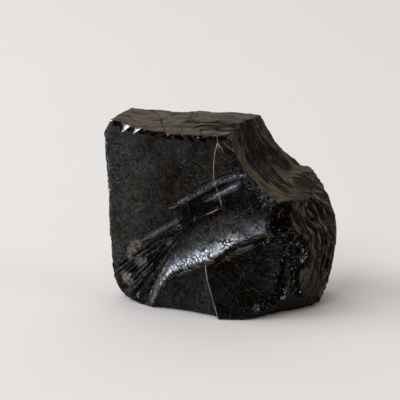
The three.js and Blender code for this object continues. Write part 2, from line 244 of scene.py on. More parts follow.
def back_y(x, z):
    upper, away = back_rings(x, z)
    rings = 0.6 * np.sin(away / 1.7 + 1.2 * np.sin(away / 9)) * smooth(away, 4, 16)
    lean = np.where(upper, 0.17 * (z - 24), 0.02 * (24 - z))
    ledge = np.where(upper, 2.2 * hump((x + 30) / 70), 0)
    return BACK - 0.5 - lean - 0.9 * np.cos(away / 14 - 1.2) + rings - ledge


def tilted(point, outward, unevenness, seed):
    """A facet that is a tilted plane, a little uneven: how far a point lies outside it."""
    point, normal = np.array(point, float), np.array(outward, float)
    normal /= np.linalg.norm(normal)
    along = np.array([-normal[1], normal[0], 0]) / math.hypot(normal[0], normal[1])
    up = np.cross(normal, along)

    def distance(x, y, z):
        away = np.stack([x, y, z], -1) - point
        return away @ normal - unevenness * swell(away @ along, away @ up, 14, seed)

    return distance


def bowl(at, outward, width, depth):
    """The shallow round bowl that a flake leaves: how far a point lies outside the rock there."""
    radius = width * width / (8 * depth) + depth / 2
    out = np.array(outward, float)
    centre = np.array(at) + out / np.linalg.norm(out) * (radius - depth)
    return lambda x, y, z: radius - np.linalg.norm(np.stack([x, y, z], -1) - centre, axis=-1)


breaks = {
    "front": lambda x, y, z: front_y(x, z) - y,
    "facet": right_facet_distance,
    "right": lambda x, y, z: x - right_x(y, z),
    "shoulder": lambda x, y, z: z - shoulder_z(x, y),
    "top": lambda x, y, z: z - top_z(x, y),
    "left": lambda x, y, z: left_x(y, z) - x,
    "foot": lambda x, y, z: foot_z(x, y) - z,
    "back": lambda x, y, z: y - back_y(x, z),
    "undercut": tilted([22, -16.4, 2.5], [0.45, -0.7, -0.55], 0.4, 8),
    "back_right": tilted([30, 15.5, 24], [0.66, 0.74, 0], 1.1, 9),
    "back_foot": tilted([0, 19, 4], [0.08, 0.62, -0.78], 0.5, 10),
    "back_left": tilted([-28, 15, 22], [-0.6, 0.78, -0.1], 1.2, 11),
    "toe_flake": bowl([17.6, -22.8, 6.2], [0.3, -0.92, -0.24], 15, 2.5),
    "edge_flake": bowl([33.8, -9, 14], [0.85, -0.5, 0.15], 10, 1.2),
    "left_flake": bowl([-36.5, 14, 52], [-0.8, 0.55, 0.2], 15, 1.8),
    "back_flake": bowl([24, 20, 34], [0.5, 0.8, 0.3], 16, 1.8),
    "foot_flake": bowl([-8, 22, 3], [0, 0.75, -0.6], 17, 1.8),
}
ROUNDING = 0.1  # how far a fresh edge is blunted, before it is chipped


def meet(points):
    """How far each point is outside the rock, which way is out, its gap to each break, and their shares."""
    step = 0.02
    here = np.array([away(*points.T) for away in breaks.values()])
    slopes = np.stack(
        [(np.array([away(*(points + step * axis).T) for away in breaks.values()]) - here) / step
         for axis in np.eye(3)],
        -1,
    )
    steep = np.maximum(np.linalg.norm(slopes, axis=-1), 1)
    gaps = here / steep
    top_gap = gaps.max(0)
    share = np.exp((gaps - top_gap) / ROUNDING)
    outside = top_gap + ROUNDING * np.log(share.sum(0))
    share /= share.sum(0)
    out = (share[..., None] * slopes / steep[..., None]).sum(0)
    out /= np.linalg.norm(out, axis=-1, keepdims=True)
    return outside, out, gaps, share


# Its skin starts as an even mesh over the CAD solid, which is then drawn onto the breaks themselves.
COARSE = 0.00067  # metres between points, halved on the breaks with fine relief

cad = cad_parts["shungite_stone"]
blank = bpy.data.objects.new("blank", cad.data.copy())
bpy.context.scene.collection.objects.link(blank)
skin = blank.modifiers.new("even skin", "REMESH")
skin.mode = "VOXEL"
skin.voxel_size = COARSE
mesh = bpy.data.meshes.new_from_object(blank.evaluated_get(bpy.context.evaluated_depsgraph_get()))
bpy.data.objects.remove(blank)


def points_of(mesh):
    flat = np.empty(len(mesh.vertices) * 3, np.float32)
    mesh.vertices.foreach_get("co", flat)
    return flat.reshape(-1, 3).astype(float) * 1000


def drawn_on(points, rounds):
    for _ in range(rounds):
        outside, out, _, _ = meet(points)
        points = points - np.clip(outside, -0.3, 0.3)[:, None] * out
    return points


def put_back(mesh, points):
    mesh.vertices.foreach_set("co", (points / 1000).astype(np.float32).ravel())
    mesh.update()


points = drawn_on(points_of(mesh), 4)
put_back(mesh, points)
_, _, _, share = meet(points)
names = list(breaks)
FINE = ["front", "shoulder", "facet", "toe_flake", "edge_flake"]
fine = sum(share[names.index(name)] for name in FINE) > 0.5
work = bmesh.new()
work.from_mesh(mesh)
work.verts.ensure_lookup_table()
edges = [edge for edge in work.edges if fine[edge.verts[0].index] and fine[edge.verts[1].index]]
bmesh.ops.subdivide_edges(work, edges=edges, cuts=1, use_grid_fill=True)
work.to_mesh(mesh)
work.free()
points = drawn_on(points_of(mesh), 5)
_, out, gaps, share = meet(points)


# Fine relief, as a depth cut into the skin: scalloped chips on the edges, and each break's own grain.
def random_of(cells, seed):
    """Three fixed random numbers, 0 to 1, for each whole-numbered cell."""
    mixing = np.array([[127.1, 269.5, 113.5], [311.7, 183.3, 271.9], [74.7, 246.1, 124.6]])
    wave = np.sin(cells @ mixing + seed * 17.17) * 43758.5453
    return wave - np.floor(wave)


NEIGHBOURS = np.array([[a, b, c] for a in (-1, 0, 1) for b in (-1, 0, 1) for c in (-1, 0, 1)])


def bites(mask, spacing, seed, share=0.9):
    """Round bites, one in most cells of a jittered grid: 0 outside, the mask at the deepest."""
    chosen = mask > 0.01
    scaled = points[chosen] / spacing
    home = np.floor(scaled)
    deepest = np.zeros(len(scaled))
    for offset in NEIGHBOURS:
        cell = home + offset
        place = random_of(cell, seed)
        size = random_of(cell, seed + 5)[:, 0]
        radius = np.where(size < share, 0.45 + 0.45 * size, 1e-3)
        away = ((scaled - cell - place) ** 2).sum(-1)
        deepest = np.maximum(deepest, 1 - away / radius**2)
    result = np.zeros(len(points))
    result[chosen] = mask[chosen] * deepest
    return result


def plates(mask, spacing, seed, squash=(1, 1, 1)):
    """Flat plates, one in each cell, each tilted its own way: about 0 to the mask's value."""
    chosen = mask > 0.01
    scaled = points[chosen] / spacing / np.array(squash)
    home = np.floor(scaled)
    nearest = np.full(len(scaled), 9.0)
    height = np.zeros(len(scaled))
    for offset in NEIGHBOURS:
        cell = home + offset
        away = scaled - cell - random_of(cell, seed)
        distance = (away**2).sum(-1)
        tilt = (away * (random_of(cell, seed + 3) - 0.5)).sum(-1)
        tilt += 0.5 * (random_of(cell, seed + 9)[:, 0] - 0.5)
        height = np.where(distance < nearest, tilt, height)
        nearest = np.minimum(nearest, distance)
    result = np.zeros(len(points))
    result[chosen] = mask[chosen] * np.clip(height + 0.45, 0, 1)
    return result


def line_gap(u, v, line):
    """Signed distance to a bent line: positive on its left."""
    gap = np.full(np.shape(u), 99.0)
    for (u0, v0), (u1, v1) in zip(line, line[1:]):
        du, dv = u1 - u0, v1 - v0
        t = np.clip(((u - u0) * du + (v - v0) * dv) / (du * du + dv * dv), 0, 1)
        off = np.hypot(u - u0 - t * du, v - v0 - t * dv)
        side = np.where(du * (v - v0) - dv * (u - u0) >= 0, 1.0, -1.0)
        gap = np.where(off < np.abs(gap), side * off, gap)
    return gap


def nearest_gap(u, v, lines):
    nearest = np.full(len(points), 99.0)
    for line in lines:
        gap = line_gap(u, v, line)
        nearest = np.where(np.abs(gap) < np.abs(nearest), gap, nearest)
    return nearest


def patch(places):
    """1 at the middle of round patches (x, y, z, radius), falling to 0 at their edges."""
    most = np.zeros(len(points))
    for px, py, pz, radius in places:
        most = np.maximum(most, 1 - ((x - px) ** 2 + (y - py) ** 2 + (z - pz) ** 2) / radius**2)
    return most


x, y, z = points.T
own = {name: share[names.index(name)] for name in names}
second = np.sort(gaps, 0)[-2]
edge = smooth(second, -1.5, -0.05) * (1 - 0.7 * smooth(y, 3, 8))
lip, rim = lip_height(x), rim_height(x)
turn, out_along = fan_turn(x, z)
front = own["front"]
on_shelf = front * (z > lip) * (z < rim)
on_body = front * (z <= lip)
depth = bites(0.5 * edge, 1.9, 1, 0.8) + bites(0.25 * edge, 0.9, 2)

# Front: each long scar is a narrow facet tilted up, that ends in a crest and a sharp drop below it. Under
# the longest, the surface comes back out slowly. Each has its line, width, depth, and how far that takes.
rim_scar = [(-18.4, 32.9), (-13.3, 36.5), (-8.8, 39.3), (-2, 43.7), (2.5, 45.8), (5.9, 46.9), (8.6, 47.4)]
scar_lines = [
    (rim_scar, 1.5, 0.9, 8),
    ([(-6.9, 36.2), (-2, 39.2), (2.5, 42), (6, 43.9)], 1.2, 0.7, 1),
    ([(-27.5, 20.9), (-20.3, 26), (-13.4, 30.5)], 1.3, 0.75, 1),
    ([(-30.5, 13.5), (-22, 20.6), (-14, 27.8)], 1.0, 0.6, 1),
]
have = np.where(z >= rim, scars(x, z - rim), 0)
ridge = np.zeros(len(points))
crest = np.full(len(points), 99.0)
for line, width, deep, recovery in scar_lines:
    gap = line_gap(x, z, line)
    taper = smooth(x, line[0][0] - 0.5, line[0][0] + 6) * (1 - smooth(x, line[-1][0] - 1.5, line[-1][0] + 1))
    width = width * (0.35 + 0.65 * taper)
    facet = np.where(gap > 0, 1 - gap / 0.4, 1 + gap / width)
    under = np.maximum(0, 1 + (gap + width) / recovery) ** 2 * np.minimum(1, (-gap - width) / 0.2)
    cut = np.where(gap > -width, np.maximum(0, facet), 0.85 * under)
    depth += front * np.maximum(0, deep * taper * cut - have) * (z > lip + 3)
    # The crest line also carries a painted highlight: a thin line of bright mirror colour, drawn in the
    # material.
    low_edge = np.where(taper > 0.15, gap + width + 0.1 - 0.06 * np.sin(1.7 * x), 99.0)
    crest = np.where(np.abs(low_edge) < np.abs(crest), low_edge, crest)
    ridge = np.maximum(ridge, front * taper * smooth(gap, -width - 0.1, -width + 0.2) * smooth(gap, 0.3, 0))

# The fan's fine straight hackle, the lip's chips and the second, smaller ledge under it.
saw = turn * 10 + 0.25 * np.sin(out_along / 3.3)
saw_turn = saw - np.floor(saw)
in_fan = smooth(out_along, 2, 9) * (1 - smooth(out_along, 29, 35))
in_fan *= smooth(turn, -0.15, 0.02) * (1 - smooth(turn, 0.6, 0.75))
tooth = np.minimum(1 - saw_turn, 4 * saw_turn)
tooth_depth = 0.35 + 0.5 * random_of(np.floor(saw)[:, None] * np.ones(3), 4)[:, 0]
depth += front * in_fan * tooth_depth * tooth
depth += 0.3 * front * in_fan * (1 - hackle(turn * 23, out_along, 1, 5))
near_lip = np.exp(-(((z - lip + 0.5) / 0.8) ** 2)) * smooth(x, -22, -18)
depth += bites(0.45 * front * near_lip, 1.4, 6) + plates(0.4 * front * near_lip, 1.8, 61)
second_ledge = [(-4.2, 16.9), (-0.3, 19), (4.2, 21.2), (8.1, 23.1), (13.7, 25)]
gap = line_gap(x, z, second_ledge)
depth += 0.6 * on_body * np.maximum(0, np.where(gap > 0, 1 - gap / 1.2, 1 + gap / 0.3)) * smooth(x, -4, 0)

# Shoulder: hackle that fans out from the top's corner, then a band of straight, sharp striations. Across
# runs over the hackle, and along it is the slide. A hollow near the back, below a smooth rim, gets painted
# shade.
slide = slide_of(x, y)
steep = 1 - smooth(slide, 5, 8)
across = steep * 10 * np.arctan2(y - 4.5, np.maximum(slide, -1) + 3) + (1 - steep) * (y + 0.3 * slide)
back_rim = smooth(y - 7.5 - 0.9 * np.minimum(slide, 7), -1, 1)
hackled = own["shoulder"] * (1 - back_rim) * smooth(y, -8, -5)
striated = hackled * (1 - steep) * (1 - smooth(slide, 15, 18)) * (1 - smooth(y, 4, 6.5))
coarse_hackle = (1 - hackle(across, slide, 2.4, 6)) ** 1.5
fine_hackle = 1 - hackle(across, slide, 0.95, 7)
depth += hackled * steep * (0.8 * coarse_hackle + 0.4 * fine_hackle) + 0.5 * striated * fine_hackle**2
depth += 0.1 * own["shoulder"] * fine_hackle * smooth(swell(x, y, 7, 3), -0.5, 0.6)
depth += plates(0.35 * own["shoulder"], 5, 91, (1.6, 0.6, 1))
band_line = [(6.3, -5.3), (9.5, -3.6), (11.8, -5.6), (15.5, -7.6)]
band_edge = own["shoulder"] * groove(nearest_gap(x, y, [band_line]), 0.5)
depth += 0.5 * band_edge
hollow = own["shoulder"] * smooth(patch([(17.8, 8.2, 47.2, 4.6), (21.5, 9.5, 44, 3.6)]), 0, 0.5)
depth += 0.5 * hollow

# Right side, with the far part of the facet beside it: long curved blades with gaps between them.
along, _ = facet_place(x, y)
round_right = np.where(own["right"] > 0.5, 27.3 + y, along)
blades_from = through([
    [2, 10.5], [5.4, 9.5], [9.5, 8], [14, 8.2], [17, 11.8], [21, 12.6], [25.4, 9.6], [29, 6], [34, 6.5],
])
past_start = along - blades_from(z)
bladed = own["right"] + own["edge_flake"] + own["facet"] * smooth(past_start, -0.4, 0.4)
flat_blade = own["facet"] * smooth(past_start, -0.2, 0.2) * smooth(z, 15.5, 13) * smooth(z, 3, 5)
blade = round_right + 0.022 * (z - 20) ** 2 + 0.6 * np.sin(z / 3.7) + 0.5 * swell(round_right, z, 6, 3)
blade_turn = blade / 2.3 - np.floor(blade / 2.3)
blade_gap = np.maximum(0, 1 - np.abs(blade_turn - 0.93) / 0.1)
fine_blade = 1 - hackle(blade, z, 0.8, 8)
blade_plates = plates(bladed, 3.4, 3, (0.7, 0.7, 2.2))
blade_cut = (0.6 * blade_turn + 0.5 * blade_gap) * (1 - 0.6 * smooth(y, -3, 4)) + 0.25 * fine_blade - 0.3
depth += (bladed - 0.9 * flat_blade) * (blade_cut + 0.5) - 0.5 * bladed + 0.4 * blade_plates
right_top = own["right"] * smooth(z, 33, 37)  # its grooves are partly filled here
depth -= right_top * 0.8 * np.maximum(0, 0.3 - right_ribs(y, z))

# Top: low waves, thin bent cracks, and two open crevices by its step.
over_top = 1.1 * y + 0.9 * np.sin(x / 5) + 0.5 * np.sin(x / 2.3)
top_wave = 1 - hackle(over_top, x, 2.6, 2)
wavy = smooth(swell(x, y, 11, 4), -0.6, 0.5)
depth += own["top"] * (0.08 + 0.08 * swell(x, y, 3.4, 5) + 0.3 * top_wave * wavy)
top_cracks = [
    [(-24.6, 14.3), (-22.4, 13.5), (-21, 10.5), (-19.9, 5.5), (-19.1, -0.1), (-18.2, -3.4)],
    [(-19.9, 3.9), (-16.3, 8.5), (-14.1, 13.1)],
    [(-9.7, 14.3), (-9.2, 10.3), (-10.6, 3.9), (-13, 1.5)],
    [(-8.4, 10.3), (-5, 7), (-2.4, 7.8), (0.2, 5.5), (4, 6.2), (8, 4.4)],
    [(-30.8, 7), (-28, 2.3), (-25.8, 1.5)],
    [(-6.5, -10.1), (-6.4, -4.7)],
    [(-14.5, -8.4), (-13.4, -4.6), (-9.5, -3.9)],
]
wide_cracks = [
    [(-10.6, 3.9), (-8.8, 3.4), (-6.5, 1.5), (-3.6, 0.7), (-0.6, 1.5), (1.5, -1.4), (5, -1.9)],
    [(-8.2, -1.4), (-4.7, -1.6), (-1.4, -3.2), (1.9, -6.3), (4.6, -6.3)],
]
top_crack = nearest_gap(x, y, top_cracks)
wide_crack = nearest_gap(x, y, wide_cracks)
crevice = groove(np.minimum(wide_crack, 0), 2.2) * groove(np.maximum(wide_crack, 0), 0.5)
depth += own["top"] * (0.3 * groove(top_crack, 0.4) + 0.7 * crevice)
top_crack = np.where(np.abs(wide_crack) < np.abs(top_crack), 0.6 * wide_crack, top_crack)

# Right-hand front facet: chipped plates and a rough recess. Front: chips along the shoulder's edge. The
# other breaks: plates and broad hackle.
in_recess = own["facet"] * smooth(z, 27, 30) * (1 - bladed)
plain_facet = np.clip(own["facet"] - in_recess - bladed, 0, 1)
depth += plates(0.8 * plain_facet * smooth(along, 0, 4), 4.2, 7)
depth += bites(0.35 * plain_facet * smooth(along, 2, 5), 2.4, 71, 0.5)
depth += bites(0.5 * in_recess, 2.1, 12) + plates(0.9 * in_recess, 2.6, 15)
chip_line = [(2.8, 50), (5.9, 47.2), (9.8, 43.4), (13.7, 39.7), (18.2, 33.6), (18.9, 28.4)]
chip_zone = np.exp(-((nearest_gap(x, z, [chip_line]) / 1.6) ** 2))
depth += bites(0.45 * front * chip_zone, 1.2, 81) + plates(0.5 * front * chip_zone, 1.7, 83)
depth += plates(0.7 * own["undercut"], 3.1, 21)
depth += 0.25 * own["left"] * (1 - hackle(y + 0.1 * z, z, 2.3, 3)) + plates(0.4 * own["left"], 4.2, 31)
_, away = back_rings(x, z)
depth += own["back"] * 0.14 * (1 - hackle(away, x, 1.7, 2))
for name in ["back_right", "back_left", "back_foot"]:
    depth += plates(0.6 * own[name], 4.6, 41)

# Flat three-cornered flakes struck from the top's front edge, all facing halfway between the long light
# and the eye, so that they shine, and small round ones down the left edge.
FLAKE_Z = 58.0
toward_light, toward_eye = np.array([-0.848, 0.084, 0.528]), np.array([0, -0.961, 0.276])
flake_out = toward_light + toward_eye
flake_out /= np.linalg.norm(flake_out)
flakes = []
fresh = np.zeros(len(points))
for start, length in [(-37.2, 2.2), (-33.1, 4), (-29.2, 3.4), (-25.3, 1.2), (-17.8, 1.8)]:
    end = start + length
    end_y = front_y(end, FLAKE_Z)
    tip = np.array([end, end_y, top_z(end, end_y)])
    inside = smooth(x, start, start + 0.25) * (x < end + 0.2) * (z > FLAKE_Z - 2)
    flakes.append((tip, inside))
    fresh = np.maximum(fresh, inside * smooth((points - tip) @ flake_out, -0.1, 0.1))
depth *= 1 - fresh
left_edge = smooth(gaps[names.index("left")] + 0.4 * swell(y, z, 5, 3), -2.2, -0.4)
top_edge = smooth(gaps[names.index("top")] + 0.5 * swell(x, z, 4, 2), -1.9, -0.8)
top_edge *= front * (1 - smooth(fresh, 0, 0.3))
depth += plates(0.6 * top_edge, 1.4, 97)
depth += bites(0.5 * front * left_edge, 1.5, 95)

# The cut is made. The rim behind the shoulder, the foot and the right end then keep to the lump's outline.
DEEPEST = 1.6  # how far the skin may be cut in
PROUDEST, PROUDEST_RIGHT_TOP = -0.2, -0.7  # and how far it may stay out, as a negative depth
depth = np.clip(depth, np.where(right_top > 0.3, PROUDEST_RIGHT_TOP, PROUDEST), DEEPEST)
relief = points - depth[:, None] * out
for tip, inside in flakes:
    relief -= (inside * np.maximum(0, (relief - tip) @ flake_out))[:, None] * flake_out
back_rim_height = through([
    [19, 62], [20, 52], [23, 47], [26, 43.6], [27.5, 42], [30, 41.8], [31, 41.6], [33, 40], [36, 38],
])
behind = (y > 8) & (x > 19.5)
relief[behind, 2] = np.minimum(relief[behind, 2], back_rim_height(x[behind]))
relief[:, 2] = np.maximum(relief[:, 2], 0)
relief[:, 0] = np.minimum(relief[:, 0], RIGHT + 0.2)
put_back(mesh, relief)
mesh.polygons.foreach_set("use_smooth", np.ones(len(mesh.polygons), bool))
mesh.name = "shungite_lump"
stone = bpy.data.objects.new("shungite_lump", mesh)
bpy.context.scene.collection.objects.link(stone)

# What lies where on its surface. Lines are kept as signed distances, so that they stay sharp when drawn.
veins = [
    [(-1.2, 57.5), (-1.2, 56.3), (-2.1, 52.7), (-2.4, 48), (-2.4, 43.9), (-1.7, 41), (-0.5, 38.2),
     (0.2, 35.8)],
    [(-1.0, 56.3), (0.2, 54.6)],
    [(-1.2, 34.2), (-2.6, 33.2), (-4.4, 32.3)],
    [(-5.5, 18.2), (-5.2, 17.6), (-4.5, 12.8), (-3.1, 7.7), (-1.7, 2.8), (-1.1, 0.6)],
]
faint_veins = [
    [(0.2, 35.8), (-2.2, 34.6), (-4.7, 32.3), (-3.7, 30.2), (-3.1, 26.7), (-3.3, 22.5), (-3.7, 19.5)],
    [(-0.9, 35.2), (-0.5, 32.1), (-0.1, 28.3)],
]
cracks = [
    [(-3.9, 23.6), (-3.3, 24.4), (-2.8, 23.8), (-2.4, 24.8)],
    [(-1.6, 25.2), (-0.8, 24.3), (0, 25.1), (0.7, 24.2), (1.2, 25.6), (1.8, 24.9)],
    [(3.4, 28.9), (4.1, 27.6), (4.9, 28.4), (5.6, 29.6), (6.6, 28.8), (7.6, 27.6), (8.7, 26.9)],
    [(5.6, 29.6), (5.9, 28.2)],
    [(15.5, 34.6), (17, 32.6), (17.6, 30.4), (16.6, 29)],
]
# Short cracks stand above the lip, each leaning its own way.
for i, lean in enumerate([0.5, 1.0, 0.2, 0.7, 1.2, 0.1, 0.8, 0.4, 1.1, 0.3, 0.9]):
    start = -21.3 + 1.7 * i + 0.7 * lean
    foot = float(lip_height(start))
    cracks.append([(start, foot + 0.4 * lean), (start - 0.6 * lean, foot + 0.5 + 0.7 * lean)])


def on_front(lines):
    return np.where(front > 0.3, nearest_gap(x, z, lines), 99.0)


# How thick the brown film lies on the glass: 0 where it is clean, past 1 where it is nearly black. Under the
# lower edges and in the recess it is laid on thick as painted shade, and on a patch of the body it is thinned
# for a painted bluish reflection.
above_lip = z - lip
shadowed = smooth(x, -20, -12) * (1 - smooth(x, 10, 18))
film_and_painted_light = 0.22 * smooth(x, -34, -14) - 0.12 + 0.14 * on_body * (x > joint_x(z)) + 1.1 * plain_facet
film_and_painted_light += 0.12 * on_shelf * shadowed * smooth(above_lip, 8, 13)
film_and_painted_light += 0.35 * front * smooth(turn, 0.6, 0.75) * smooth(above_lip, 3, 7) * smooth(out_along, 6, 14)
film_and_painted_light -= 0.25 * on_shelf * smooth(x, 0, 6) * smooth(above_lip, 6, 10)
near = on_shelf * (1 - smooth(above_lip, 2, 8)) * (1 - 0.65 * smooth(x, 0, 10))
film_and_painted_light -= 0.8 * near * (0.55 + 0.45 * smooth(x, -12.5, -8.5))
glints = patch([
    (27.5, -14.3, 19.9, 2.2), (29.3, -13, 15.8, 1.1), (25.5, -16.1, 23.5, 0.9), (21.5, -20.1, 9.1, 1.4),
    (20.6, -19.8, 6.3, 1.4), (11.7, -22.8, 4.1, 1.5), (26.5, -15, 17.6, 1),
])
# A painted bluish reflection where the body curves round to the right: thinner film and a cooler tint.
blue_sheen_patch = on_body * smooth(x, 13, 16.5) * (1 - smooth(x, 21, 22.5)) * smooth(z, 8, 13)
film_and_painted_light += 0.7 * front * in_fan * smooth(tooth, 0.45, 0.8)
film_and_painted_light += 0.9 * top_edge - 0.5 * front * left_edge * (z > 24) - 0.5 * smooth(glints, 0, 0.3) - 0.25 * blue_sheen_patch
# Painted shade under the lower edges and in the recess under the shoulder: the film is laid on thick there.
under = np.maximum(own["undercut"], smooth(z, 4.5, 2.5) * smooth(x, 14, 18) * smooth(y, 0, -4))
film_and_painted_light += 0.3 * own["facet"] * (1 - bladed) + 1.3 * under + 0.6 * own["toe_flake"] + 0.6 * in_recess
film_and_painted_light += 0.8 * bladed - 0.6 * ridge

# How dark the clay is drawn: partly its own darker streaks and bands, partly painted shade in grooves,
# crevices, hollows, the recess, under the edges and towards the bottom of the blades.
right_end = own["shoulder"] * smooth(x - 0.2 * y, 23.5, 27.5)
shade = hackled * steep * (0.9 - 0.2 * smooth(y, -4, -8)) + 0.95 * hollow + right_end + band_edge
shade += striated * smooth(fine_hackle, 0.4, 0.7) + patch([(13.3, 10.4, 57.7, 3.5)])
shade += 0.5 * own["shoulder"] * (1 - smooth(slide, 1, 7)) * (1 - back_rim) + 0.3 * own["shoulder"] * back_rim
dark_corner = smooth(x, -8, 2) * smooth(y + 0.8 * swell(x, y, 5, 2), -9, -6) * (1 - smooth(y, 2, 7))
shade += own["top"] * (crevice + 0.35 * smooth(top_wave, 0.6, 1) + 0.9 * dark_corner)
shade += in_recess + bladed * (0.5 + 0.5 * smooth(blade_turn, 0.3, 0.9)) * (1 - 0.7 * flat_blade)
shade += bladed * (0.9 * smooth(z, 14, 5) + 0.5 * smooth(z, 27, 33) + 0.8 * flat_blade) + under
shade += 0.8 * bladed * smooth(past_start, 1.5, 4) * smooth(z, 20, 12)
shade += own["right"] * smooth(z, 30, 35) * (0.55 + 0.45 * smooth(right_ribs(y, z), 0.1, 0.5))

# Fine strokes run along the blades, over the shoulder, the top and the back, down the fan, and out over
# the body: where they are, the place across and along them, and how strong they are.
from_joint = np.hypot(x + 5, z - 20)
over_body = 14 * np.arctan2(z - 20, x + 5)
places = [
    (bladed, 0.7 * blade, z, 1.0),
    (own["back"], away, 0.3 * x, 0.4),
    (own["shoulder"], across, slide, 0.35),
    (own["top"], over_top, x, 0.45),
    (on_body, over_body, 3 * from_joint, 0.22),
    (front - on_body, 12 * turn, out_along, 0.0),
]
stroke_across, stroke_along, stroke_weight = np.zeros((3, len(points)))
for where, place_across, place_along, weight in places:
    stroke_across = np.where(where > 0.5, place_across, stroke_across)
    stroke_along = np.where(where > 0.5, place_along, stroke_along)
    stroke_weight += where * weight
stroke_weight += 0.8 * (hackled * steep + striated) + 1.3 * front * in_fan - 0.5 * flat_blade
stroke_weight *= 1 - 0.6 * right_end
facet_chips = 0.8 * plain_facet + 0.5 * in_recess + 0.6 * own["toe_flake"]
chips = np.clip(front * (chip_zone + near_lip + left_edge) + facet_chips + edge, 0, 1)
clay = own["top"] + own["shoulder"] + bladed * np.maximum(smooth(blade_plates, 0.1, 0.4), flat_blade)
# The undercut is also drawn as matt clay, so that its painted shade stays near-black.
clay += 0.8 * own["left"] + 0.5 * own["foot"] + under
fields = {
    "vein": on_front(veins),
    "faint_vein": on_front(faint_veins),
    "crack": np.where(own["top"] > 0.5, top_crack, on_front(cracks)),
    "lip": np.where(front > 0.5, above_lip, 99.0),
    "clay": clay,
    "shade": np.clip(shade, 0, 1),
    "film_and_painted_light": film_and_painted_light,
    "depth": depth,
    "across": stroke_across,
    "along": stroke_along,
    "strokes": np.clip(stroke_weight, 0, 1),
    # A cooler tint on the glass: partly its own tone, partly painted bluish sheen on the shelf, the scars'
    # facets and the body's right-hand curve.
    "cool": np.clip(0.5 * on_shelf + 0.8 * ridge + blue_sheen_patch + 0.6 * on_body + 0.4 * in_fan * front, 0, 1),
    "warm": np.clip(own["shoulder"] + bladed + in_recess, 0, 1),
    "trough": on_shelf * (1 - smooth(above_lip, 2, 11)),
    "chips": chips * (1 - under),
    "crest": np.where((front > 0.5) & (y < 4), crest, 99.0),
    "glint": np.clip(1.4 * smooth(glints, 0, 0.5) + 0.45 * front * left_edge + 0.3 * top_edge, 0, 1),
    "fresh": fresh,
    "dust": front * patch([
        (-28.4, -2.6, 19.6, 2.6), (-29.6, -2.3, 17.3, 2.4), (-30.6, -2.1, 15, 1.8), (-27.4, -3, 13.6, 2.2),
        (-25.6, -3.6, 14, 1.6), (-31.8, -2, 8.4, 2.2), (-30.6, -2.4, 6.4, 1.8),
    ]),
    "rust": patch([
        (20.4, -16, 34.5, 2.4), (24.2, -12.7, 29.8, 2.1), (36.7, -2, 31.3, 1.8), (17.9, 8, 47, 1.3),
        (-21.3, -10, 4.6, 1.2), (-21.9, -10, 3.0, 1.2), (12.5, 9, 57.5, 1.1),
    ]),
}
for name, values in fields.items():
    kept = mesh.attributes.new(name, "FLOAT", "POINT")
    kept.data.foreach_set("value", values.astype(np.float32))

# Shungite, broken and never polished: pitch-black carbon that is glassy on the fresh conchoidal breaks,
# under a thin film that mottles its shine, and a dull taupe skin of clay where it broke on an old joint.
# Scales are per millimetre of the stone. Grit, dust and strokes are drawn coarser than real, so that
# they show: about 0.3 mm.
shungite = bpy.data.materials.new("shungite")
shungite.use_nodes = True
tree = shungite.node_tree
tree.nodes.clear()


def linear(hex_colour):
    """An sRGB hex colour as linear red, green, blue and alpha."""
    parts = [int(hex_colour[i : i + 2], 16) / 255 for i in (1, 3, 5)]
    return [c / 12.92 if c <= 0.04045 else ((c + 0.055) / 1.055) ** 2.4 for c in parts] + [1]


def node(kind, sockets=(), output=0, **options):
    """Adds a shader node: sockets takes values or other nodes' outputs, by place or by name."""
    made = tree.nodes.new("ShaderNode" + kind)
    for name, value in options.items():
        setattr(made, name, value)
    for name, value in sockets.items() if isinstance(sockets, dict) else enumerate(sockets):
        if isinstance(value, bpy.types.NodeSocket):
            tree.links.new(value, made.inputs[name])
        else:
            made.inputs[name].default_value = value
    return made.outputs[output]


EASED = {"interpolation_type": "SMOOTHSTEP"}
RGB = {"data_type": "RGBA"}
TINT = {"data_type": "RGBA", "blend_type": "MULTIPLY"}
TIMES = {"operation": "MULTIPLY"}
PLUS = {"operation": "ADD"}
MOST = {"operation": "MAXIMUM"}
UNSIGNED = {"operation": "ABSOLUTE"}
mm = node("VectorMath", {0: node("TexCoord", output="Object"), "Scale": 1000.0}, operation="SCALE")
broad = node("TexNoise", {"Vector": mm, "Scale": 1 / 11, "Detail": 3})
middle = node("TexNoise", {"Vector": mm, "Scale": 1 / 3.2, "Detail": 4, "Roughness": 0.6})
small = node("TexNoise", {"Vector": mm, "Scale": 1 / 0.9, "Detail": 4, "Roughness": 0.6})
tiny = node("TexNoise", {"Vector": mm, "Scale": 1 / 0.35, "Detail": 3, "Roughness": 0.6})
mask = {name: node("Attribute", attribute_name=name, output="Fac") for name in fields}

# The glass: its colour is how much it mirrors, like a dark metal's, because shungite's lustre is half
# metallic. It is blue-grey where it is clean and nearly black under a brown film.
film_and_painted_light = node("Math", [node("Math", [broad, 0.6], **TIMES), node("Math", [middle, 0.7], **TIMES)], **PLUS)
film_and_painted_light = node("Math", [node("Math", [film_and_painted_light, node("Math", [small, 0.4], **TIMES)], **PLUS), mask["film_and_painted_light"]], **PLUS)
clean = node("MapRange", [film_and_painted_light, 0.6, 0.2, 0.0, 1.0])
